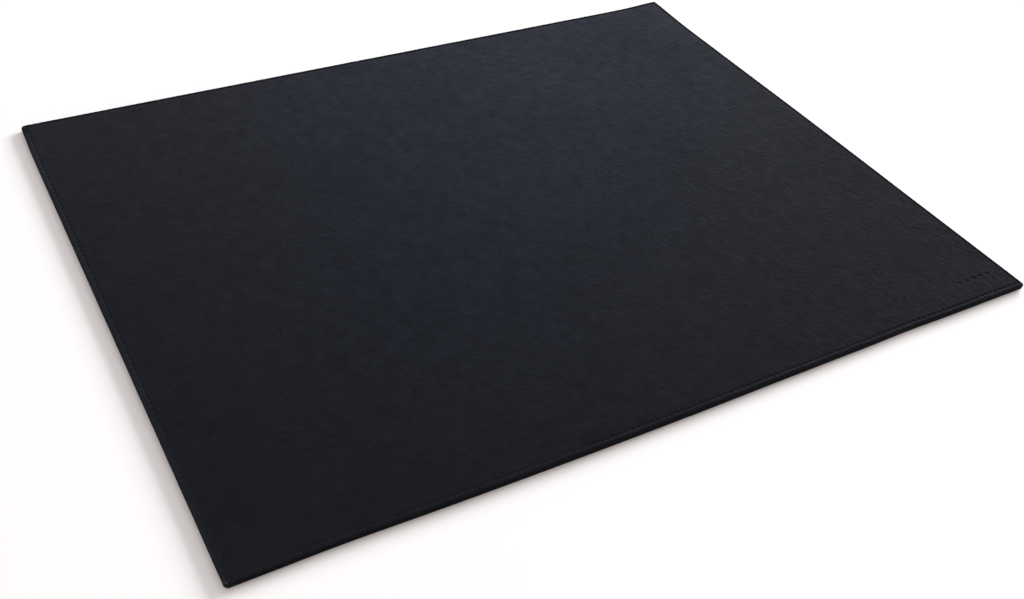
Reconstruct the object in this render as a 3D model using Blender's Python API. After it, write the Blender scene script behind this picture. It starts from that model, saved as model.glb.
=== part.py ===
"""Stitched leather desk mat, A3 size.

Frame: origin at the middle of the underside, +X along the long side,
+Y towards the far long side, +Z up. Units are metres.

Layers from the desk up: backing sheet, turned-in leather lip with the
infill card inside it, core board, leather face. A lockstitch seam runs
round all four sides, needle thread above and bobbin thread below.
"""
import math

import bmesh
import bpy
from mathutils import Vector

# ---- driving dimensions -------------------------------------------------
LENGTH = 0.420            # long side, outside to outside
WIDTH = 0.297             # short side
THICKNESS = 0.0036        # desk to writing face
CORNER_R = 0.0018         # plan radius of the corners
CORNER_STEPS = 6          # facets in each corner

LEATHER_T = 0.00080       # leather over the board and round the edge
LIP_T = 0.00050           # leather skived thinner where it turns in
LIP_IN = 0.0160           # inner end of the lip, from the outer edge
LIP_Z = 0.00085           # underside of the lip

BOARD_Z0 = 0.00160        # core board, bottom and top
BOARD_Z1 = 0.00255
BOARD_INSET = 0.00125     # board edge, from the outer edge

CARD_INSET = 0.0164       # infill card edge, from the outer edge

BACKING_T = 0.00060
BACKING_INSET = 0.00120   # backing edge, from the outer edge

SEAM_INSET = 0.0025       # stitch line, from the outer edge
TOP_GROOVE_D = 0.00050    # how deep the stitches pull the leather in
TOP_GROOVE_W = 0.00150    # width at the surface
TOP_GROOVE_FLOOR = 0.00080
NEEDLE_D = 0.00034        # needle thread diameter
LOW_GROOVE_D = 0.00040    # channel in the backing for the lower thread
LOW_GROOVE_W = 0.00110
LOW_GROOVE_FLOOR = 0.00070
BOBBIN_D = 0.00028        # bobbin thread diameter
THREAD_CLEAR = 0.00008    # thread to the floor of its channel

MIN_R = 0.00030           # corner radius left on rings far from the edge
EDGE_STEPS = 10           # facets round the rolled edge
INNER_STEPS = 3


# ---- helpers ------------------------------------------------------------
def clear_scene():
    for obj in list(bpy.data.objects):
        bpy.data.objects.remove(obj, do_unlink=True)


def outline(inset, z):
    """Points of the rounded rectangle that lies inset from the outer edge."""
    r = max(CORNER_R - inset, MIN_R)
    hx, hy = LENGTH / 2 - inset, WIDTH / 2 - inset
    pts = []
    for sx, sy, start in ((1, 1, 0), (-1, 1, 90), (-1, -1, 180), (1, -1, 270)):
        cx, cy = sx * (hx - r), sy * (hy - r)
        for i in range(CORNER_STEPS + 1):
            a = math.radians(start + 90 * i / CORNER_STEPS)
            pts.append(Vector((cx + r * math.cos(a), cy + r * math.sin(a), z)))
    return pts


def arc(cx, cz, r, a0, a1, steps):
    """Profile points (inset, height) on an arc; 0 deg is inwards, 90 up."""
    out = []
    for i in range(steps + 1):
        a = math.radians(a0 + (a1 - a0) * i / steps)
        out.append((cx + r * math.cos(a), cz + r * math.sin(a)))
    return out


def material(name, color, roughness):
    mat = bpy.data.materials.new(name)
    mat.use_nodes = True
    bsdf = mat.node_tree.nodes["Principled BSDF"]
    bsdf.inputs["Base Color"].default_value = (*color, 1.0)
    bsdf.inputs["Roughness"].default_value = roughness
    bsdf.inputs["Metallic"].default_value = 0.0
    return mat


def add_object(name, mesh, mat, coll):
    obj = bpy.data.objects.new(name, mesh)
    coll.objects.link(obj)
    mesh.materials.append(mat)
    mesh.shade_smooth()
    mesh.set_sharp_from_angle(angle=math.radians(30))
    return obj


def loft(name, profile, mat, coll):
    """Carry an open profile round the mat and close it with two flat faces.

    The profile is a list of (inset, height). Its first ring is filled as the
    upper face of the path and its last ring as the other end.
    """
    bm = bmesh.new()
    rings = [[bm.verts.new(p) for p in outline(d, z)] for d, z in profile]
    n = len(rings[0])
    for a, b in zip(rings, rings[1:]):
        for i in range(n):
            j = (i + 1) % n
            bm.faces.new((a[i], b[i], b[j], a[j]))
    bm.faces.new(rings[0])
    bm.faces.new(list(reversed(rings[-1])))
    bmesh.ops.recalc_face_normals(bm, faces=bm.faces)
    mesh = bpy.data.meshes.new(name)
    bm.to_mesh(mesh)
    bm.free()
    return add_object(name, mesh, mat, coll)


def plate(name, inset, z0, z1, radius, mat, coll):
    """A flat sheet: a box with its four upright edges rounded."""
    bm = bmesh.new()
    bmesh.ops.create_cube(bm, size=1.0)
    bmesh.ops.scale(bm, vec=(LENGTH - 2 * inset, WIDTH - 2 * inset, z1 - z0), verts=bm.verts)
    bmesh.ops.translate(bm, vec=(0, 0, (z0 + z1) / 2), verts=bm.verts)
    upright = [e for e in bm.edges if abs(e.verts[0].co.z - e.verts[1].co.z) > 1e-5]
    bmesh.ops.bevel(bm, geom=upright, offset=radius, segments=4, profile=0.5, affect="EDGES")
    mesh = bpy.data.meshes.new(name)
    bm.to_mesh(mesh)
    bm.free()
    return add_object(name, mesh, mat, coll)


def thread(name, z, diameter, mat, coll):
    """A closed run of thread along the whole seam."""
    curve = bpy.data.curves.new(name, "CURVE")
    curve.dimensions = "3D"
    curve.bevel_depth = diameter / 2
    curve.bevel_resolution = 2
    spline = curve.splines.new("POLY")
    pts = outline(SEAM_INSET, z)
    spline.points.add(len(pts) - 1)
    for sp, p in zip(spline.points, pts):
        sp.co = (p.x, p.y, p.z, 1.0)
    spline.use_cyclic_u = True
    curve.materials.append(mat)
    obj = bpy.data.objects.new(name, curve)
    coll.objects.link(obj)
    return obj


# ---- the mat ------------------------------------------------------------
def build():
    clear_scene()
    scene = bpy.context.scene
    coll = bpy.data.collections.new("desk_mat")
    scene.collection.children.link(coll)

    leather = material("black_leather", (0.020, 0.021, 0.024), 0.48)
    board = material("grey_board", (0.32, 0.31, 0.29), 0.90)
    card = material("levelling_card", (0.42, 0.38, 0.31), 0.90)
    suede = material("black_suede", (0.022, 0.021, 0.021), 0.95)
    upper = material("black_needle_thread", (0.012, 0.012, 0.014), 0.55)
    lower = material("black_bobbin_thread", (0.014, 0.014, 0.015), 0.60)

    # Leather cover: writing face, stitch channel, rolled edge, lip, and back
    # along the inside of the leather to the underside of the face.
    edge_r = (THICKNESS - LIP_Z) / 2
    edge_z = (THICKNESS + LIP_Z) / 2
    floor_z = THICKNESS - TOP_GROOVE_D
    face_under = THICKNESS - LEATHER_T
    lip_top = LIP_Z + LIP_T
    inner_r = 0.00065
    profile = [
        (SEAM_INSET + TOP_GROOVE_W / 2, THICKNESS),
        (SEAM_INSET + TOP_GROOVE_FLOOR / 2, floor_z),
        (SEAM_INSET - TOP_GROOVE_FLOOR / 2, floor_z),
        (SEAM_INSET - TOP_GROOVE_W / 2, THICKNESS),
    ]
    profile += arc(edge_r, edge_z, edge_r, 90, 270, EDGE_STEPS)
    profile += [(LIP_IN, LIP_Z), (LIP_IN, lip_top)]
    wall = LEATHER_T + inner_r
    profile += arc(wall, lip_top + inner_r, inner_r, 270, 180, INNER_STEPS)
    profile += arc(wall, face_under - inner_r, inner_r, 180, 90, INNER_STEPS)
    loft("leather_cover", profile, leather, coll)

    plate("core_board", BOARD_INSET, BOARD_Z0, BOARD_Z1, 0.0016, board, coll)
    plate("infill_card", CARD_INSET, LIP_Z, LIP_Z + LIP_T, 0.0004, card, coll)

    # Backing: upper side first, over the outer edge, and along the underside
    # past the channel of the lower thread.
    profile = [
        (BACKING_INSET, BACKING_T),
        (BACKING_INSET, 0.0),
        (SEAM_INSET - LOW_GROOVE_W / 2, 0.0),
        (SEAM_INSET - LOW_GROOVE_FLOOR / 2, LOW_GROOVE_D),
        (SEAM_INSET + LOW_GROOVE_FLOOR / 2, LOW_GROOVE_D),
        (SEAM_INSET + LOW_GROOVE_W / 2, 0.0),
    ]
    loft("backing", profile, suede, coll)

    thread("needle_thread", floor_z + THREAD_CLEAR + NEEDLE_D / 2, NEEDLE_D, upper, coll)
    thread("bobbin_thread", LOW_GROOVE_D - THREAD_CLEAR - BOBBIN_D / 2, BOBBIN_D, lower, coll)


build()
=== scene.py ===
import math

import bpy
import numpy as np
from mathutils import Matrix, Vector


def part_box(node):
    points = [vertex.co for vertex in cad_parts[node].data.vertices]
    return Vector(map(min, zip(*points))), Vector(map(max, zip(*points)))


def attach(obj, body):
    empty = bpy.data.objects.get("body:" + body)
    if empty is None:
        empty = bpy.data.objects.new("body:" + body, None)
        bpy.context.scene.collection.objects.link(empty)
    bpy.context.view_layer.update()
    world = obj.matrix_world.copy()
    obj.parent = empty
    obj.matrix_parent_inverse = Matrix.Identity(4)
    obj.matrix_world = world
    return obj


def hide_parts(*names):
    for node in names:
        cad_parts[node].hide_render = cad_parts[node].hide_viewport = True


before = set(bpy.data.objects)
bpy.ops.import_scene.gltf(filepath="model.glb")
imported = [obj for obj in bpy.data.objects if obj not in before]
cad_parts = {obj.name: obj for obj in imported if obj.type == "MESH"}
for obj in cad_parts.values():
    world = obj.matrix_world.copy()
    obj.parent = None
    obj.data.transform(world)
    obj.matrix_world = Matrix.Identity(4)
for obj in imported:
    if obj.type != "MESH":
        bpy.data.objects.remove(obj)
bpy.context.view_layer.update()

MM = 0.001
# ---------------------------------------------------------------- sizes
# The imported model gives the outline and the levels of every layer.
cover_lo, cover_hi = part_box("leather_cover")
HX, HY, TOP = cover_hi[0], cover_hi[1], cover_hi[2]
LIP_Z = cover_lo[2]
back_lo, back_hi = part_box("backing")
BACK_T = back_hi[2]
seam_lo, seam_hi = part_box("needle_thread")
SEAM = HX - (seam_hi[0] - 0.5 * (seam_hi[2] - seam_lo[2]))   # seam line, from the outer edge
board_lo, board_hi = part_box("core_board")
card_lo, card_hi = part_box("infill_card")
CORNER_R = 1.8 * MM
LIP_IN = HX - card_hi[0] - 0.4 * MM

PITCH = 3.32 * MM
SUB = 6                      # mesh columns for each stitch
AX, AY = HX - SEAM, HY - SEAM
NX, NY = round(2 * AX / PITCH), round(2 * AY / PITCH)
PX, PY = 2 * AX / NX, 2 * AY / NY
ARC = 14                     # mesh columns in each corner


# ---------------------------------------------------------------- noise
def lattice_noise(seed):
    """Smooth value noise on the plane, the same on every run."""
    table = np.random.default_rng(seed).uniform(-1, 1, (64, 64))

    def f(x, y):
        xi, yi = np.floor(x).astype(int), np.floor(y).astype(int)
        u, v = x - xi, y - yi
        u, v = u * u * (3 - 2 * u), v * v * (3 - 2 * v)
        a = table[xi % 64, yi % 64]
        b = table[(xi + 1) % 64, yi % 64]
        c = table[xi % 64, (yi + 1) % 64]
        d = table[(xi + 1) % 64, (yi + 1) % 64]
        return (a * (1 - u) + b * u) * (1 - v) + (c * (1 - u) + d * u) * v

    return f


n_field, n_field2, n_edge, n_edge2, n_seam, n_back = (lattice_noise(s) for s in (11, 12, 13, 14, 15, 16))


# ---------------------------------------------------------------- outline rings
def side_points(half, count, pitch, limit):
    u = -half + np.arange(1, count * SUB) * (pitch / SUB)
    return u[np.abs(u) < limit - 0.3 * MM]


UX = side_points(AX, NX, PX, HX - CORNER_R)
UY = side_points(AY, NY, PY, HY - CORNER_R)


def ring(inset, rmin=0.2 * MM):
    """Plan points, outward directions and signed distance past the nearest needle hole."""
    r = max(CORNER_R - inset, rmin)
    cx, cy = HX - inset - r, HY - inset - r
    ux, uy = UX * (cx / (HX - CORNER_R)), UY * (cy / (HY - CORNER_R))
    ang = np.radians(np.linspace(0, 90, ARC + 1))
    pts, out, along = [], [], []

    def straight(x, y, nx, ny, u, half, pitch):
        pts.append(np.stack([x, y], 1))
        out.append(np.tile([nx, ny], (len(x), 1)).astype(float))
        k = (u + half) / pitch
        along.append((k - np.round(k)) * pitch * (1 if nx - ny > 0 else -1))

    def corner(ccx, ccy, start):
        a = ang + math.radians(start)
        p = np.stack([ccx + r * np.cos(a), ccy + r * np.sin(a)], 1)
        pts.append(p)
        out.append(np.stack([np.cos(a), np.sin(a)], 1))
        hole = np.array([math.copysign(AX, ccx), math.copysign(AY, ccy)])
        away = np.linalg.norm(p - hole, axis=1)
        along.append(np.maximum(away - abs(inset - SEAM), 0.0))

    one = np.ones_like
    straight(ux, -(HY - inset) * one(ux), 0, -1, ux, AX, PX)
    corner(cx, -cy, -90)
    straight((HX - inset) * one(uy), uy, 1, 0, uy, AY, PY)
    corner(cx, cy, 0)
    straight(ux[::-1], (HY - inset) * one(ux), 0, 1, ux[::-1], AX, PX)
    corner(-cx, cy, 90)
    straight(-(HX - inset) * one(uy), uy[::-1], -1, 0, uy[::-1], AY, PY)
    corner(-cx, -cy, 180)
    return np.concatenate(pts), np.concatenate(out), np.concatenate(along)


def coarse_ring(inset, nx=42, ny=30, arc=5, rmin=0.2 * MM):
    r = max(CORNER_R - inset, rmin)
    cx, cy = HX - inset - r, HY - inset - r
    ux, uy = np.linspace(-cx, cx, nx + 1)[1:-1], np.linspace(-cy, cy, ny + 1)[1:-1]
    ang = np.radians(np.linspace(0, 90, arc + 1))
    pts = []
    one = np.ones_like
    for x, y, c, s in (
        (ux, -(HY - inset) * one(ux), (cx, -cy), -90),
        ((HX - inset) * one(uy), uy, (cx, cy), 0),
        (ux[::-1], (HY - inset) * one(ux), (-cx, cy), 90),
        (-(HX - inset) * one(uy), uy[::-1], (-cx, -cy), 180),
    ):
        pts.append(np.stack([x, y], 1))
        a = ang + math.radians(s)
        pts.append(np.stack([c[0] + r * np.cos(a), c[1] + r * np.sin(a)], 1))
    return np.concatenate(pts)


def lap(points):
    """Where each point of a closed loop lies round the mat, from 0 to 4 from the near left corner."""
    x, y = points[:, 0], points[:, 1]
    ax, ay = np.abs(x).max(), np.abs(y).max()
    dist = np.stack([ay + y, ax - x, ay - y, ax + x])
    side = dist.argmin(0)
    t = np.select(
        [side == 0, side == 1, side == 2, side == 3],
        [(x + ax) / (2 * ax), (y + ay) / (2 * ay), (ax - x) / (2 * ax), (ay - y) / (2 * ay)],
    )
    return side + np.clip(t, 0, 1 - 1e-9)


class Build:
    """Gathers vertices, faces and per-vertex numbers for one mesh."""

    def __init__(self):
        self.v, self.quads, self.tris, self.ngons, self.n = [], [], [], [], 0
        self.marks = {"wear": [], "side": [], "pressed": []}

    def add(self, xyz, **marks):
        xyz = np.asarray(xyz, float)
        self.v.append(xyz)
        for k, store in self.marks.items():
            store.append(np.broadcast_to(np.asarray(marks.get(k, 0.0), float), (len(xyz),)))
        start = self.n
        self.n += len(xyz)
        return np.arange(start, self.n)

    def band(self, a, b):
        """Quads between two closed loops of the same count; a outside b, seen from above."""
        an, bn = np.roll(a, -1), np.roll(b, -1)
        self.quads.append(np.stack([a, an, bn, b], 1))

    def zip(self, a, pa, b, pb):
        """Triangles between two closed loops of different counts; a outside b, seen from above."""
        la, lb = lap(pa), lap(pb)
        ia, ib = int(la.argmin()), int(lb.argmin())
        a, la = np.roll(a, -ia), np.roll(la, -ia)
        b, lb = np.roll(b, -ib), np.roll(lb, -ib)
        la, lb = np.append(la, la[0] + 4), np.append(lb, lb[0] + 4)
        i = j = 0
        na, nb = len(a), len(b)
        tris = []
        while i < na or j < nb:
            if j >= nb or (i < na and la[i + 1] <= lb[j + 1]):
                tris.append((a[i % na], a[(i + 1) % na], b[j % nb]))
                i += 1
            else:
                tris.append((a[i % na], b[(j + 1) % nb], b[j % nb]))
                j += 1
        self.tris.append(np.array(tris))

    def mesh(self, name, flip=False):
        v = np.concatenate(self.v)
        faces = []
        for q in self.quads:
            faces += q.tolist()
        for t in self.tris:
            faces += t.tolist()
        faces += [list(map(int, n)) for n in self.ngons]
        if flip:
            faces = [f[::-1] for f in faces]
        me = bpy.data.meshes.new(name)
        me.from_pydata(v.tolist(), [], faces)
        me.validate()
        for k, store in self.marks.items():
            at = me.attributes.new(k, "FLOAT", "POINT")
            at.data.foreach_set("value", np.concatenate(store).astype(np.float32))
        me.shade_smooth()
        me.update()
        return me


def place(name, mesh, mat, replaces=()):
    obj = bpy.data.objects.new(name, mesh)
    bpy.context.scene.collection.objects.link(obj)
    mesh.materials.append(mat)
    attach(obj, "root")
    if replaces:
        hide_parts(*replaces)
    return obj


# ---------------------------------------------------------------- materials
def nodes_of(name):
    mat = bpy.data.materials.new(name)
    mat.use_nodes = True
    nt = mat.node_tree
    bsdf = nt.nodes["Principled BSDF"]
    return mat, nt, bsdf


def new(nt, kind, **values):
    n = nt.nodes.new(kind)
    for k, v in values.items():
        if k in n.inputs:
            n.inputs[k].default_value = v
        else:
            setattr(n, k, v)
    return n


def socket(n, name, which=0):
    found = [s for s in n.inputs if s.name == name]
    return found[which]


def out(n, name, which=0):
    found = [s for s in n.outputs if s.name == name and s.enabled]
    return found[which]


def noise(nt, vec, scale, detail=2.0, rough=0.5, distort=0.0):
    n = nt.nodes.new("ShaderNodeTexNoise")
    n.inputs["Scale"].default_value = scale
    n.inputs["Detail"].default_value = detail
    n.inputs["Roughness"].default_value = rough
    n.inputs["Distortion"].default_value = distort
    nt.links.new(vec, n.inputs["Vector"])
    return n.outputs["Fac"]


def voronoi(nt, vec, scale, feature="F1", randomness=1.0, smooth=None):
    n = nt.nodes.new("ShaderNodeTexVoronoi")
    n.feature = feature
    n.inputs["Scale"].default_value = scale
    n.inputs["Randomness"].default_value = randomness
    if smooth is not None:
        n.inputs["Smoothness"].default_value = smooth
    nt.links.new(vec, n.inputs["Vector"])
    return n.outputs["Distance"]


def remap(nt, value, lo, hi, to_lo, to_hi):
    n = nt.nodes.new("ShaderNodeMapRange")
    n.inputs["From Min"].default_value = lo
    n.inputs["From Max"].default_value = hi
    n.inputs["To Min"].default_value = to_lo
    n.inputs["To Max"].default_value = to_hi
    nt.links.new(value, n.inputs["Value"])
    return n.outputs["Result"]


def calc(nt, op, a, b=None):
    n = nt.nodes.new("ShaderNodeMath")
    n.operation = op
    for i, x in enumerate((a, b)):
        if x is None:
            continue
        if isinstance(x, (int, float)):
            n.inputs[i].default_value = x
        else:
            nt.links.new(x, n.inputs[i])
    return n.outputs[0]


def mix_color(nt, fac, a, b, blend="MIX"):
    n = nt.nodes.new("ShaderNodeMix")
    n.data_type = "RGBA"
    n.blend_type = blend
    if isinstance(fac, (int, float)):
        n.inputs[0].default_value = fac
    else:
        nt.links.new(fac, n.inputs[0])
    for i, x in ((6, a), (7, b)):
        if isinstance(x, tuple):
            n.inputs[i].default_value = (*x, 1.0)
        else:
            nt.links.new(x, n.inputs[i])
    return n.outputs[2]


def bump(nt, height, distance, strength, normal=None):
    n = nt.nodes.new("ShaderNodeBump")
    n.inputs["Distance"].default_value = distance
    n.inputs["Strength"].default_value = strength
    nt.links.new(height, n.inputs["Height"])
    if normal is not None:
        nt.links.new(normal, n.inputs["Normal"])
    return n.outputs["Normal"]


def coords(nt):
    return nt.nodes.new("ShaderNodeTexCoord").outputs["Object"]


def attribute(nt, name):
    n = nt.nodes.new("ShaderNodeAttribute")
    n.attribute_name = name
    return n.outputs["Fac"]


def leather_material():
    mat, nt, b = nodes_of("smooth_black_leather")
    co = coords(nt)
    wear, side, pressed = attribute(nt, "wear"), attribute(nt, "side"), attribute(nt, "pressed")
    # the grain: pillowed cells about a millimetre across, smaller ones inside them, pores between
    wn = nt.nodes.new("ShaderNodeTexNoise")
    wn.inputs["Scale"].default_value = 380
    wn.inputs["Detail"].default_value = 2.0
    nt.links.new(co, wn.inputs["Vector"])
    ws = nt.nodes.new("ShaderNodeVectorMath")
    ws.operation = "SCALE"
    ws.inputs["Scale"].default_value = 0.0016
    nt.links.new(wn.outputs["Color"], ws.inputs[0])
    warp = nt.nodes.new("ShaderNodeVectorMath")
    warp.operation = "ADD"
    nt.links.new(co, warp.inputs[0])
    nt.links.new(ws.outputs[0], warp.inputs[1])
    wv = warp.outputs[0]
    cells = voronoi(nt, wv, 900, "SMOOTH_F1", smooth=0.35)
    small = voronoi(nt, wv, 2100, "F1")
    crease = voronoi(nt, wv, 900, "DISTANCE_TO_EDGE")
    pores = voronoi(nt, co, 560, "F1")
    fine = noise(nt, co, 5200, 2, 0.6)
    along = nt.nodes.new("ShaderNodeSeparateXYZ")
    nt.links.new(co, along.inputs[0])
    strength = calc(nt, "MULTIPLY", remap(nt, noise(nt, co, 26, 3, 0.6, 0.5), 0.35, 0.68, 0.60, 1.30),
                    calc(nt, "MULTIPLY", remap(nt, along.outputs["X"], -0.02, 0.19, 0.50, 1.0),
                         remap(nt, along.outputs["Y"], -0.04, 0.14, 1.0, 0.74)))
    pillow = remap(nt, cells, 0.10, 0.75, 1.0, 0.0)
    little = remap(nt, small, 0.0, 0.8, 1.0, 0.0)
    crease_h = remap(nt, crease, 0.0, 0.10, 0.0, 1.0)
    pore_h = remap(nt, pores, 0.0, 0.09, 0.0, 1.0)
    h = calc(nt, "ADD", calc(nt, "MULTIPLY", pillow, 0.50), calc(nt, "MULTIPLY", little, 0.12))
    h = calc(nt, "ADD", h, calc(nt, "MULTIPLY", crease_h, 0.10))
    h = calc(nt, "ADD", h, calc(nt, "MULTIPLY", pore_h, 0.20))
    h = calc(nt, "ADD", h, calc(nt, "MULTIPLY", fine, 0.09))
    folds = voronoi(nt, wv, 420, "SMOOTH_F1", smooth=0.6)
    h = calc(nt, "ADD", h, calc(nt, "MULTIPLY", remap(nt, folds, 0.1, 0.8, 1.0, 0.0), 1.0))
    h = calc(nt, "MULTIPLY", h, strength)
    flat = calc(nt, "SUBTRACT", 1.0, calc(nt, "MULTIPLY", pressed, 0.85))
    h = calc(nt, "MULTIPLY", h, flat)
    nrm = bump(nt, h, 0.00015, 0.8)
    broad = noise(nt, co, 150, 2, 0.5)
    nrm = bump(nt, broad, 0.00030, 0.5, nrm)
    nt.links.new(nrm, b.inputs["Normal"])
    # colour: dyed almost black, slow clouds, paler rubbed grain tops, painted shade in the creases, a painted highlight
    # on the worn crown and corners, painted shade on the side of the roll
    clouds = noise(nt, co, 14, 4, 0.55, 0.4)
    patches = noise(nt, co, 170, 3, 0.6)
    base = mix_color(nt, remap(nt, clouds, 0.35, 0.65, 0.0, 1.0), (0.0014, 0.0016, 0.0022), (0.0030, 0.0033, 0.0045))
    base = mix_color(nt, remap(nt, patches, 0.35, 0.70, 0.0, 0.8), base, (0.0048, 0.0052, 0.0066))
    tops = calc(nt, "MULTIPLY", remap(nt, cells, 0.12, 0.42, 0.5, 0.0), strength)
    base = mix_color(nt, tops, base, (0.0066, 0.0070, 0.0082))
    # painted shade: the creases between the grain cells are darkened
    base = mix_color(nt, remap(nt, crease, 0.0, 0.06, 0.45, 0.0), base, (0.0016, 0.0016, 0.0018))
    # painted highlight: the crown of the roll and the corners are paled, together with real rubbing wear
    base = mix_color(nt, remap(nt, wear, 0.0, 1.0, 0.0, 0.55), base, (0.0150, 0.0150, 0.0160))
    # painted shade: the side and underside of the roll, and the last millimetres of the far and right sides, are
    # darkened
    base = mix_color(nt, remap(nt, side, 0.0, 1.0, 0.0, 0.92), base, (0.0007, 0.0007, 0.0008))
    base = mix_color(nt, remap(nt, pressed, 0.0, 1.0, 0.0, 0.70), base, (0.0012, 0.0012, 0.0014))
    nt.links.new(base, b.inputs["Base Color"])
    # gloss: satin on the grain tops, duller in the creases and on the edge, polished where pressed
    rough = calc(nt, "ADD", remap(nt, clouds, 0.3, 0.7, 0.43, 0.50), calc(nt, "MULTIPLY", fine, 0.06))
    rough = calc(nt, "ADD", rough, remap(nt, crease, 0.0, 0.08, 0.12, 0.0))
    rough = calc(nt, "ADD", rough, remap(nt, patches, 0.3, 0.7, 0.05, -0.03))
    rough = calc(nt, "ADD", rough, calc(nt, "MULTIPLY", side, 0.42))
    rough = calc(nt, "MULTIPLY", rough, remap(nt, wear, 0.0, 1.0, 1.0, 0.42))
    rough = calc(nt, "SUBTRACT", rough, calc(nt, "MULTIPLY", pressed, 0.24))
    nt.links.new(rough, b.inputs["Roughness"])
    b.inputs["Specular IOR Level"].default_value = 0.11
    b.inputs["Specular Tint"].default_value = (0.76, 0.84, 1.0, 1.0)
    return mat


def thread_material(name, base):
    mat, nt, b = nodes_of(name)
    co = coords(nt)
    fib = noise(nt, co, 9000, 3, 0.7, 0.6)
    lint = noise(nt, co, 1200, 2, 0.5)
    col = mix_color(nt, remap(nt, fib, 0.3, 0.7, 0, 1), base, tuple(2.4 * c for c in base))
    col = mix_color(nt, remap(nt, lint, 0.66, 0.8, 0, 0.4), col, (0.012, 0.012, 0.013))
    nt.links.new(col, b.inputs["Base Color"])
    nt.links.new(remap(nt, fib, 0.2, 0.8, 0.78, 0.95), b.inputs["Roughness"])
    nt.links.new(bump(nt, fib, 0.00004, 0.6), b.inputs["Normal"])
    b.inputs["Specular IOR Level"].default_value = 0.025
    return mat


def suede_material():
    mat, nt, b = nodes_of("black_suede_cloth")
    co = coords(nt)
    nap = noise(nt, co, 2600, 3, 0.7, 0.8)
    brushed = noise(nt, co, 38, 3, 0.6, 1.2)
    fibres = voronoi(nt, co, 3400, "F1")
    col = mix_color(nt, remap(nt, nap, 0.3, 0.7, 0, 1), (0.012, 0.0118, 0.0122), (0.030, 0.029, 0.029))
    col = mix_color(nt, remap(nt, brushed, 0.42, 0.62, 0, 0.45), col, (0.040, 0.0385, 0.038))
    nt.links.new(col, b.inputs["Base Color"])
    nt.links.new(remap(nt, nap, 0.2, 0.8, 0.86, 1.0), b.inputs["Roughness"])
    h = calc(nt, "ADD", nap, calc(nt, "MULTIPLY", fibres, 0.8))
    nt.links.new(bump(nt, h, 0.00015, 0.7), b.inputs["Normal"])
    b.inputs["Specular IOR Level"].default_value = 0.15
    b.inputs["Sheen Weight"].default_value = 0.35
    b.inputs["Sheen Roughness"].default_value = 0.5
    b.inputs["Sheen Tint"].default_value = (0.75, 0.74, 0.76, 1.0)
    return mat


def board_material(name, dark, light, speck):
    mat, nt, b = nodes_of(name)
    co = coords(nt)
    pulp = noise(nt, co, 700, 5, 0.7, 0.5)
    stretch = nt.nodes.new("ShaderNodeMapping")
    stretch.inputs["Scale"].default_value = (250, 1500, 1500)
    nt.links.new(co, stretch.inputs["Vector"])
    strands = noise(nt, stretch.outputs[0], 1.0, 2, 0.6, 1.0)
    flecks = voronoi(nt, co, 900, "F1")
    col = mix_color(nt, remap(nt, pulp, 0.3, 0.7, 0, 1), dark, light)
    col = mix_color(nt, remap(nt, strands, 0.55, 0.8, 0, 0.6), col, light)
    col = mix_color(nt, remap(nt, flecks, 0.0, 0.09, 0.8, 0.0), col, speck)
    nt.links.new(col, b.inputs["Base Color"])
    nt.links.new(remap(nt, pulp, 0.2, 0.8, 0.82, 0.96), b.inputs["Roughness"])
    nt.links.new(bump(nt, pulp, 0.00008, 0.5), b.inputs["Normal"])
    b.inputs["Specular IOR Level"].default_value = 0.25
    return mat


leather = leather_material()
suede = suede_material()
upper = thread_material("black_bonded_needle_thread", (0.0016, 0.0016, 0.0018))
lower = thread_material("black_bonded_bobbin_thread", (0.0030, 0.0030, 0.0033))
board_mat = board_material("grey_board", (0.24, 0.235, 0.22), (0.40, 0.39, 0.365), (0.10, 0.10, 0.10))
card_mat = board_material("levelling_card", (0.34, 0.30, 0.24), (0.50, 0.45, 0.37), (0.16, 0.12, 0.08))


# ---------------------------------------------------------------- leather cover
def stitch_noise(p):
    """A slow change of stitch tension round the seam, about -1 to 1."""
    return n_seam(p[:, 0] / (9 * MM) + 20.3, p[:, 1] / (9 * MM) + 7.7)


def seam_pull(p):
    """How hard the seam pulls the leather in: most towards the right end of the near side."""
    along = np.clip((p[:, 0] / HX + 0.9) / 1.8, 0, 1)
    near = 0.24 + 0.68 * along ** 1.8
    return np.where(p[:, 1] < -HY + 12 * MM, near, 0.62)


def field_wave(x, y):
    """The hide lies on the board with faint broad waves."""
    a = n_field(x / (58 * MM) + 9.1, y / (47 * MM) + 4.2)
    b = n_field2(x / (23 * MM) + 3.3, y / (26 * MM) + 8.8)
    return (0.050 * a + 0.018 * b) * MM


def bow(p):
    """Hand-made edges are not ruled lines: the near side swells, the right side a little,
    the far right corner is drawn out and the far left one pulled in."""
    x, y = p[:, 0] / HX, p[:, 1] / HY
    near, right = np.clip((-y - 0.55) / 0.45, 0, 1), np.clip((x - 0.65) / 0.35, 0, 1)
    near, right = near * near * (3 - 2 * near), right * right * (3 - 2 * right)
    q = p.copy()
    q[:, 1] -= 1.15 * MM * near * np.exp(-(((x + 0.16) / 0.52) ** 2)) * np.clip((1 - x * x) / 0.2, 0, 1)
    q[:, 1] += 0.55 * MM * near * np.exp(-(((x + 0.78) / 0.15) ** 2))
    q[:, 1] += 0.30 * MM * near * np.exp(-(((x - 0.62) / 0.09) ** 2))
    q[:, 0] += 0.65 * MM * right * np.exp(-(((y + 0.05) / 0.50) ** 2)) * np.clip((1 - y * y) / 0.2, 0, 1)
    far_right = np.exp(-((np.hypot(p[:, 0] - HX, p[:, 1] - HY) / (19 * MM)) ** 2))
    far_left = np.exp(-((np.hypot(p[:, 0] + HX, p[:, 1] - HY) / (16 * MM)) ** 2))
    q[:, 0] += (1.40 * far_right + 0.55 * far_left) * MM
    q[:, 1] += 1.75 * far_right * MM
    return q


def far_sides(p):
    """1 on the far and right sides, 0 on the near and left ones."""
    return ((p[:, 1] > HY - 7 * MM) | ((p[:, 0] > HX - 7 * MM) & (p[:, 1] > -HY + 7 * MM))).astype(float)


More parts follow.
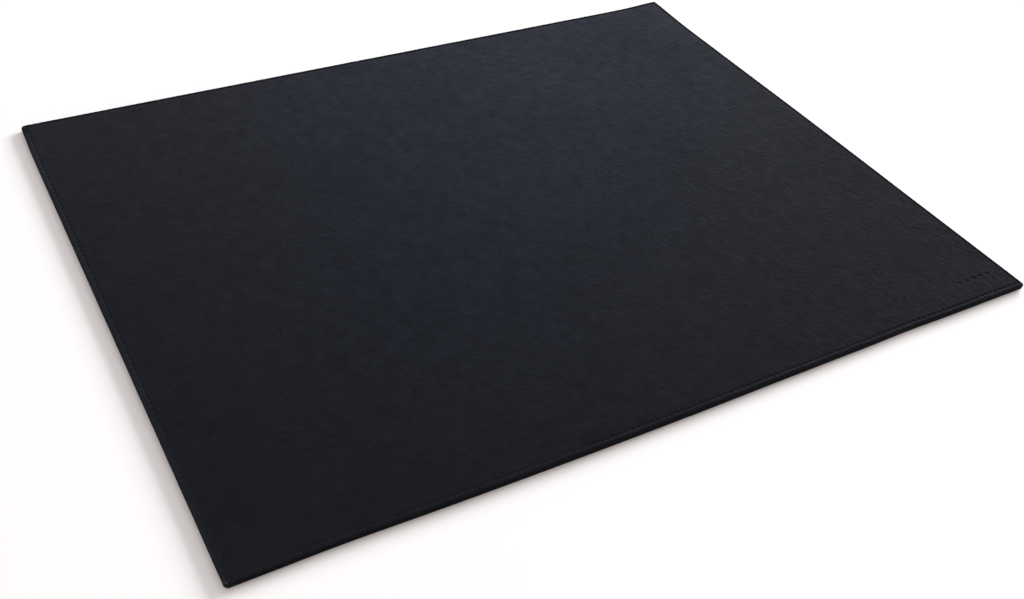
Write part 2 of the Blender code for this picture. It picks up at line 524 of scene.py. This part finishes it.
def rub_and_highlight(p):
    """How much each side is rubbed by hands, and how strongly its crown gets the painted highlight: the right end of
    the near side most.
    """
    near_side = 0.45 + 0.55 * np.clip(p[:, 0] / HX, 0, 1) ** 3
    return np.where(far_sides(p) > 0, 0.22, np.where(p[:, 1] < -HY + 7 * MM, near_side, 0.8))


def top_height(d, past, tension, draw):
    """Height of the leather over the board near the seam, from the flat face."""
    d, h, past = d / MM, np.abs(past) / MM, past / MM
    pull = (1 + 0.22 * tension) * draw
    mid = 0.5 - 0.5 * np.cos(2 * math.pi * np.clip(h / 3.32, 0, 0.5))
    # the channel, deepest where the needle went through
    wall = 0.58 if d < 2.5 else 0.46
    z = -(0.29 - 0.12 * mid) * pull * np.exp(-(((d - 2.5) / wall) ** 2))
    z = z - 0.36 * pull * np.exp(-((h / 0.50) ** 2) - ((d - 2.5) / 0.46) ** 2)
    # short slanting valleys drawn inwards from every hole, soft pads between them
    reach = np.clip((d - 2.3) / 0.6, 0, 1) * np.clip((5.3 - d) / 2.6, 0, 1)
    line = past + 0.50 * (d - 2.5)
    z = z - 0.085 * pull * reach * np.exp(-((line / 0.52) ** 2))
    z = z + 0.050 * pull * reach * mid
    z = z + (0.070 * mid - 0.015) * np.exp(-(((d - 1.50) / 0.45) ** 2)) * pull
    return z * MM


cover = Build()
face_d = np.array([5.6, 4.8, 4.25, 3.85, 3.5, 3.2, 2.95, 2.72, 2.5, 2.28, 2.08, 1.88, 1.70, 1.54, 1.40]) * MM
loops = []
for d in face_d:
    p, o, h = ring(d)
    t = stitch_noise(p)
    z = TOP + top_height(d, h, t, seam_pull(p))
    settle = np.clip((d / MM - 2.2) / 3.3, 0, 1)
    z = z + settle * field_wave(p[:, 0], p[:, 1])
    # painted highlight along the crown, strongest where the side is most rubbed, together with real wear
    wear = np.full(len(p), math.exp(-(((d / MM - 1.25) / 0.45) ** 2)))
    wear = wear * rub_and_highlight(p) * (0.35 + 0.5 * n_edge2(p[:, 0] / (13 * MM), p[:, 1] / (13 * MM)).clip(0, 1))
    # painted shade: the face darkens over its last few millimetres on the far and right sides, which aren't rubbed
    painted_edge_shade = 0.55 * far_sides(p) * np.clip((3.3 - d / MM) / 2.0, 0, 1)
    loops.append((cover.add(np.column_stack([bow(p), z]), wear=wear, side=painted_edge_shade), p))
# Rolled edge, from the crown round to the underside.
ROUND = 1.38
mid_z = 0.5 * (TOP + LIP_Z) / MM
under = {-8: (0.0, 1.72), -24: (0.03, 1.32), -42: (0.13, 0.92), -60: (0.31, 0.60), -78: (0.56, 0.40),
         -90: (0.82, 0.38), -102: (1.04, 0.53), -112: (1.22, 0.74)}
for ang in (76, 62, 48, 34, 20, 6, *under):
    a = math.radians(ang)
    if ang > 0:
        d = ROUND - ROUND * math.cos(a) ** 0.88
        zc = mid_z + (TOP / MM - mid_z) * math.sin(a) ** 0.94
    else:
        d, zc = under[ang]
    p, o, h = ring(d * MM)
    t = stitch_noise(p)
    # puckers from the stitches fade down the edge; the roll wanders slightly
    mid = 0.5 - 0.5 * np.cos(2 * math.pi * np.clip(np.abs(h) / PITCH, 0, 0.5))
    swell = 0.055 * (mid - 0.3) * max(0.0, math.sin(a)) + 0.030 * n_edge(p[:, 0] / (17 * MM) + 5, p[:, 1] / (17 * MM) + 3)
    # gathered pleats where the leather turns under each corner
    cx, cy = np.abs(p[:, 0]) - (HX - CORNER_R), np.abs(p[:, 1]) - (HY - CORNER_R)
    in_corner = (cx > -1e-6) & (cy > -1e-6)
    turn = np.where(in_corner, np.arctan2(np.maximum(cy, 0), np.maximum(cx, 1e-9)), 0)
    pleat = np.where(in_corner, np.sin(turn * 14) * 0.10 * max(0.0, -math.sin(a) + 0.15), 0)
    push = (swell + pleat) * MM
    xy = p + o * (push * math.cos(a))[:, None]
    z = zc * MM + push * (math.sin(a) if ang > 0 else 0.3 * math.sin(a))
    # painted highlight on the top of the roll and a painted glint round each corner, together with real rubbing wear
    wear = rub_and_highlight(p) * max(0.0, math.sin(a)) ** 2.2
    # painted shade: the side and underside of the roll, and the whole roll on the far and right sides, are darkened
    side = np.clip((70 - ang) / 36 + 0.75 * far_sides(p), 0, 1)
    near_corner = np.exp(-((np.hypot(np.abs(p[:, 0]) - HX, np.abs(p[:, 1]) - HY) / (3.0 * MM)) ** 2))
    wear = wear * (0.30 + 0.45 * n_edge2(p[:, 0] / (13 * MM), p[:, 1] / (13 * MM)).clip(0, 1)) + 0.85 * near_corner * max(0.0, math.cos(a - math.radians(35)))
    loops.append((cover.add(np.column_stack([bow(xy), z]), wear=wear.clip(0, 1), side=side), p))
for (a, _), (b, _) in zip(loops, loops[1:]):
    cover.band(b, a)
# Turned-in lip, its skived end, and the flesh side back under the face.
edge_loop, edge_pts = loops[-1]
inner = [(1.7, LIP_Z / MM), (5.0, LIP_Z / MM), (LIP_IN / MM - 0.15, LIP_Z / MM), (LIP_IN / MM, LIP_Z / MM + 0.12),
         (LIP_IN / MM, LIP_Z / MM + 0.40), (LIP_IN / MM - 0.1, LIP_Z / MM + 0.48), (6.0, LIP_Z / MM + 0.50), (1.6, LIP_Z / MM + 0.50),
         (1.05, LIP_Z / MM + 0.72), (0.82, LIP_Z / MM + 1.15), (0.86, TOP / MM - 1.25), (1.10, TOP / MM - 0.93),
         (1.60, TOP / MM - 0.80), (5.0, TOP / MM - 0.78)]
prev = None
for d, z in inner:
    p = coarse_ring(d * MM)
    ids = cover.add(np.column_stack([bow(p), np.full(len(p), z * MM)]), side=1.0)
    if prev is None:
        # the lip lies inside the roll in plan and is seen from below
        cover.zip(edge_loop, edge_pts, ids, p)
        cover.tris[-1] = cover.tris[-1][:, ::-1]
    else:
        cover.band(ids, prev)
    prev = ids
cover.ngons.append(prev[::-1])
# Writing face: a fine patch for the pressed mark, coarse elsewhere.
G = 7.0 * MM


def lines(lo, hi, fine_lo, fine_hi, fine, coarse):
    a = np.linspace(lo, fine_lo, max(2, round((fine_lo - lo) / coarse) + 1))
    b = np.linspace(fine_lo, fine_hi, round((fine_hi - fine_lo) / fine) + 1)
    c = np.linspace(fine_hi, hi, max(2, round((hi - fine_hi) / coarse) + 1))
    return np.unique(np.round(np.concatenate([a, b, c]), 9))


MARK = Vector((HX - 22.2 * MM, -HY + 13.2 * MM))
gx = lines(-(HX - G), HX - G, HX - 34.4 * MM, HX - 10.0 * MM, 0.16 * MM, 9.0 * MM)
gy = lines(-(HY - G), HY - G, -HY + 10.2 * MM, -HY + 16.2 * MM, 0.16 * MM, 9.0 * MM)


def mark_press(x, y):
    """How far a row of plain lozenges is pressed in, from 0 to 1, and the raised lip round them."""
    floor, lip = np.zeros_like(x), np.zeros_like(x)
    for k in range(-2, 3):
        wx, wy = (2.7, 2.3) if k == 0 else (2.0, 1.6)
        q = np.abs(x - MARK.x - k * 4.9 * MM) / (wx * MM) + np.abs(y - MARK.y) / (wy * MM)
        f = np.clip((1.02 - q) / 0.26, 0, 1)
        floor = np.maximum(floor, f * f * (3 - 2 * f))
        lip = np.maximum(lip, np.exp(-(((q - 1.16) / 0.13) ** 2)))
    return floor, lip


XX, YY = np.meshgrid(gx, gy)
grid_p = np.column_stack([XX.ravel(), YY.ravel()])
pressed, lip = mark_press(grid_p[:, 0], grid_p[:, 1])
grid_z = TOP + field_wave(grid_p[:, 0], grid_p[:, 1]) - 0.36 * MM * pressed + 0.05 * MM * lip
gid = cover.add(np.column_stack([bow(grid_p), grid_z]), pressed=np.maximum(pressed, lip)).reshape(len(gy), len(gx))
cover.quads.append(np.stack([gid[:-1, :-1].ravel(), gid[:-1, 1:].ravel(), gid[1:, 1:].ravel(), gid[1:, :-1].ravel()], 1))
rim_ids = np.concatenate([gid[0, :-1], gid[:-1, -1], gid[-1, :0:-1], gid[:0:-1, 0]])
flat_p = grid_p.reshape(len(gy), len(gx), 2)
rim_p = np.concatenate([flat_p[0, :-1], flat_p[:-1, -1], flat_p[-1, :0:-1], flat_p[:0:-1, 0]])
cover.zip(loops[0][0], loops[0][1], rim_ids, rim_p)
cover_obj = place("cover_leather", cover.mesh("cover_leather"), leather, ("leather_cover",))


# ---------------------------------------------------------------- backing
back = Build()
low = [(1.20, 0.30), (1.22, 0.14), (1.34, 0.03), (1.55, 0.0), (1.85, 0.01), (2.08, 0.06), (2.30, 0.20), (2.50, 0.27),
       (2.70, 0.20), (2.92, 0.06), (3.15, 0.01), (3.6, 0.0), (4.6, 0.0)]
b_loops = []
for d, z in low:
    p, o, h = ring(d * MM)
    dimple = 0.20 * np.exp(-((h / (0.46 * MM)) ** 2)) * math.exp(-(((d - 2.5) / 0.42) ** 2))
    ripple = 0.02 * (0.5 + 0.5 * n_back(p[:, 0] / (7 * MM), p[:, 1] / (7 * MM))) if 0 < d - 1.3 else 0.0
    zz = (z + dimple + ripple * (1 if z < 0.02 and d < 3.4 else 0)) * MM
    fray = 0.05 * MM * n_back(p[:, 0] / (1.9 * MM) + 4, p[:, 1] / (1.9 * MM)) if d < 1.3 else np.zeros(len(p))
    xy = p + o * (fray * np.ones(len(p)))[:, None]
    b_loops.append((back.add(np.column_stack([bow(xy), zz * np.ones(len(p))])), p))
for (a, _), (b, _) in zip(b_loops, b_loops[1:]):
    back.band(a, b)
bx = np.linspace(-(HX - 6 * MM), HX - 6 * MM, 84)
by = np.linspace(-(HY - 6 * MM), HY - 6 * MM, 60)
BX, BY = np.meshgrid(bx, by)
bp = np.column_stack([BX.ravel(), BY.ravel()])
nap_z = 0.03 * MM * (0.5 + 0.5 * n_back(bp[:, 0] / (21 * MM) + 3, bp[:, 1] / (21 * MM) + 6))
bid = back.add(np.column_stack([bow(bp), nap_z])).reshape(len(by), len(bx))
back.quads.append(np.stack([bid[:-1, :-1].ravel(), bid[:-1, 1:].ravel(), bid[1:, 1:].ravel(), bid[1:, :-1].ravel()], 1))
rim_ids = np.concatenate([bid[0, :-1], bid[:-1, -1], bid[-1, :0:-1], bid[:0:-1, 0]])
flat_p = bp.reshape(len(by), len(bx), 2)
rim_p = np.concatenate([flat_p[0, :-1], flat_p[:-1, -1], flat_p[-1, :0:-1], flat_p[:0:-1, 0]])
back.zip(b_loops[-1][0], b_loops[-1][1], rim_ids, rim_p)
for q in range(len(back.quads)):
    back.quads[q] = back.quads[q][:, ::-1]
for q in range(len(back.tris)):
    back.tris[q] = back.tris[q][:, ::-1]
p_top = coarse_ring(1.22 * MM)
t_ids = back.add(np.column_stack([bow(p_top), np.full(len(p_top), BACK_T)]))
back.zip(b_loops[0][0], b_loops[0][1], t_ids, p_top)
back.ngons.append(t_ids)
back_obj = place("backing_suede", back.mesh("backing_suede"), suede, ("backing",))


# ---------------------------------------------------------------- stitches
def holes():
    """Needle holes in order round the seam, with the seam's direction after each."""
    pts = []
    pts += [(-AX + k * PX, -AY) for k in range(NX)]
    pts += [(AX, -AY + k * PY) for k in range(NY)]
    pts += [(AX - k * PX, AY) for k in range(NX)]
    pts += [(-AX, AY - k * PY) for k in range(NY)]
    return np.array(pts)


def stitches(z_side, level, radius, lean, seed, steps=11, ring_n=12, twist=2.6):
    """One twisted three-ply length of thread for each stitch, z_side +1 above, -1 below."""
    rng = np.random.default_rng(seed)
    hp = holes()
    nxt = np.roll(hp, -1, axis=0)
    s = np.linspace(0, 1, steps)
    verts, quads, caps = [], [], []
    base = 0
    phase = 0.0
    for i, (a, b) in enumerate(zip(hp, nxt)):
        along = b - a
        length = np.linalg.norm(along)
        t = along / length
        n = np.array([-t[1], t[0]])
        tension = float(stitch_noise(a[None])[0])
        tilt = lean * (1 + 0.25 * rng.uniform(-1, 1))
        # ends dive into the holes, the middle lies in the channel
        inset = 0.20 * MM
        run = inset + s * (length - 2 * inset)
        arch = np.clip(1 - np.abs(2 * s - 1) ** 5, 0, 1)
        drop = (1 - arch) * 0.62 * MM
        z = level(a) - drop * z_side + 0.015 * MM * rng.uniform(-1, 1) * arch - 0.02 * MM * tension * z_side
        side = tilt * (2 * s - 1) + 0.02 * MM * rng.uniform(-1, 1)
        line = np.column_stack([a[0] + t[0] * run + n[0] * side, a[1] + t[1] * run + n[1] * side, z])
        d = np.gradient(line, axis=0)
        d /= np.linalg.norm(d, axis=1)[:, None]
        up = np.array([0, 0, float(z_side)])
        u = np.cross(d, up)
        u /= np.linalg.norm(u, axis=1)[:, None]
        w = np.cross(u, d)
        ang = np.linspace(0, 2 * math.pi, ring_n, endpoint=False)
        turn = phase + s * twist * math.pi
        lobe = 1 + 0.13 * np.cos(3 * (ang[None, :] - turn[:, None]))
        taper = (1 - 0.10 * (np.abs(2 * s - 1) ** 4))[:, None]
        rad = radius * lobe * taper * (1 + 0.03 * rng.uniform(-1, 1))
        flat = 0.90   # pressed a little flat by the presser foot
        pts = line[:, None, :] + rad[..., None] * (
            np.cos(ang)[None, :, None] * u[:, None, :] + flat * np.sin(ang)[None, :, None] * w[:, None, :])
        verts.append(pts.reshape(-1, 3))
        idx = base + np.arange(steps * ring_n).reshape(steps, ring_n)
        nx_ = np.roll(idx, -1, axis=1)
        quads.append(np.stack([idx[:-1].ravel(), nx_[:-1].ravel(), nx_[1:].ravel(), idx[1:].ravel()], 1))
        caps.append(idx[0][::-1])
        caps.append(idx[-1])
        base += steps * ring_n
        phase = turn[-1] + 0.7
    v = np.concatenate(verts)
    v[:, :2] = bow(v[:, :2])
    faces = np.concatenate(quads).tolist() + [c.tolist() for c in caps]
    return v, faces


def stitch_piece(name, z_side, level, radius, lean, seed, mat, node):
    v, faces = stitches(z_side, level, radius, lean, seed)
    me = bpy.data.meshes.new(name)
    me.from_pydata(v.tolist(), [], faces)
    me.validate()
    me.shade_smooth()
    me.set_sharp_from_angle(angle=math.radians(60))
    me.update()
    return place(name, me, mat, (node,))


top_stitches = stitch_piece("needle_stitches", 1, lambda a: TOP - (0.135 + 0.19 * float(seam_pull(a[None])[0])) * MM, 0.17 * MM, 0.10 * MM, 21, upper, "needle_thread")
low_stitches = stitch_piece("bobbin_stitches", -1, lambda a: 0.225 * MM, 0.19 * MM, 0.08 * MM, 22, lower, "bobbin_thread")

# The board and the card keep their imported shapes, inside.
for node, mat in (("core_board", board_mat), ("infill_card", card_mat)):
    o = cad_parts[node]
    o.data.materials.clear()
    o.data.materials.append(mat)

# ---------------------------------------------------------------- stage, light, camera
scene = bpy.context.scene
scene.view_settings.view_transform = "Standard"
scene.view_settings.look = "None"
scene.view_settings.exposure = 0.0
scene.view_settings.gamma = 1.0

bpy.ops.mesh.primitive_plane_add(size=8.0, location=(0, 0, 0))
floor = bpy.context.object
floor.name = "floor"
fmat, fnt, fb = nodes_of("white_floor")
fb.inputs["Base Color"].default_value = (0.93, 0.93, 0.93, 1.0)
fb.inputs["Roughness"].default_value = 0.9
fb.inputs["Specular IOR Level"].default_value = 0.1
floor.data.materials.append(fmat)

# A pale, even room: cooler behind and to the right, warmer in front and to the left.
world = bpy.data.worlds.new("studio")
scene.world = world
world.use_nodes = True
wt = world.node_tree
bg = wt.nodes["Background"]
way = wt.nodes.new("ShaderNodeVectorMath")
way.operation = "DOT_PRODUCT"
way.inputs[1].default_value = (0.62, 0.74, 0.26)
wt.links.new(wt.nodes.new("ShaderNodeTexCoord").outputs["Generated"], way.inputs[0])
ramp = wt.nodes.new("ShaderNodeValToRGB")
ramp.color_ramp.interpolation = "B_SPLINE"
# A spline ramp is cut off at 1, so the last two stops only set how fast it rises to 1.
stops = [
    (0.00, (0.93, 0.83, 0.79)), (0.50, (0.88, 0.80, 0.76)), (0.66, (0.60, 0.57, 0.57)), (0.80, (0.11, 0.12, 0.16)),
    (0.88, (0.20, 0.22, 0.32)), (0.94, (3.90, 4.00, 4.90)), (1.00, (5.40, 5.70, 7.90)),
]
while len(ramp.color_ramp.elements) < len(stops):
    ramp.color_ramp.elements.new(0.5)
for el, (pos, col) in zip(ramp.color_ramp.elements, stops):
    el.position = pos
    el.color = (*col, 1.0)
half = wt.nodes.new("ShaderNodeMapRange")
half.inputs["From Min"].default_value = -1.0
half.inputs["From Max"].default_value = 1.0
wt.links.new(way.outputs["Value"], half.inputs["Value"])
wt.links.new(half.outputs["Result"], ramp.inputs["Fac"])
wt.links.new(ramp.outputs["Color"], bg.inputs["Color"])
bg.inputs["Strength"].default_value = 1.0
# Behind the floor the room itself is seen as one plain pale tone.
plain = wt.nodes.new("ShaderNodeBackground")
plain.inputs["Color"].default_value = (0.93, 0.93, 0.935, 1.0)
seen = wt.nodes.new("ShaderNodeMixShader")
wt.links.new(wt.nodes.new("ShaderNodeLightPath").outputs["Is Camera Ray"], seen.inputs["Fac"])
wt.links.new(bg.outputs["Background"], seen.inputs[1])
wt.links.new(plain.outputs["Background"], seen.inputs[2])
wt.links.new(seen.outputs["Shader"], wt.nodes["World Output"].inputs["Surface"])


def area(name, toward, distance, size, size_y, energy, color=(1, 1, 1), target=(0, 0, 0), gloss=True, diffuse=True):
    az, el = toward
    a, e = math.radians(az), math.radians(el)
    d = Vector((math.cos(a) * math.cos(e), math.sin(a) * math.cos(e), math.sin(e)))
    data = bpy.data.lights.new(name, "AREA")
    data.shape = "RECTANGLE"
    data.size, data.size_y = size, size_y
    data.energy = energy
    data.color = color
    o = bpy.data.objects.new(name, data)
    o.location = Vector(target) + d * distance
    o.rotation_euler = (-d).to_track_quat("-Z", "Y").to_euler()
    o.visible_glossy = gloss
    o.visible_diffuse = diffuse
    scene.collection.objects.link(o)
    return o


# Azimuth is from +X towards +Y: the key stands low on the right, a little behind.
area("key_right", (20, 20), 4.0, 2.9, 1.3, 235.0, (0.97, 0.985, 1.0), gloss=False)
area("rim_far_left", (142, 17), 2.0, 1.3, 0.5, 9.0, (1.0, 1.0, 1.0), diffuse=False)
area("sheen_far", (53, 31), 3.0, 1.5, 0.9, 11.5, (0.36, 0.52, 1.0), diffuse=False)
area("glint_left", (198, 44), 2.0, 0.26, 0.70, 56.0, (1.0, 1.0, 1.0), diffuse=False)

# Camera: position and turn of the fitted view, in the mat's own frame.

def camera(az, el, roll, dist, tx, ty, focal_px, cx, cy, width_px=1024.0, height_px=599.0):
    a, e, r = math.radians(az), math.radians(el), math.radians(roll)
    backw = Vector((math.sin(a) * math.cos(e), -math.cos(a) * math.cos(e), math.sin(e)))
    fwd = -backw
    right = fwd.cross(Vector((0, 0, 1))).normalized()
    down = fwd.cross(right).normalized()
    right2 = math.cos(r) * right - math.sin(r) * down
    down2 = math.sin(r) * right + math.cos(r) * down
    rot = Matrix((right2, down2, fwd))
    loc = -(rot.transposed() @ Vector((tx, ty, dist)))
    data = bpy.data.cameras.new("camera")
    data.sensor_fit = "HORIZONTAL"
    data.sensor_width = 36.0
    data.lens = focal_px / width_px * 36.0
    data.shift_x = (width_px / 2 - cx) / width_px
    data.shift_y = (cy - height_px / 2) / width_px
    data.clip_start, data.clip_end = 0.01, 50.0
    obj = bpy.data.objects.new("camera", data)
    scene.collection.objects.link(obj)
    m = Matrix((right2, -down2, -fwd)).transposed().to_4x4()
    m.translation = loc
    obj.matrix_world = m
    scene.camera = obj
    return obj


camera(-30.20959, 43.48677, 5.88379, 0.54264, 0.07691, -0.04674, 1062.52, 355.45, 299.5)
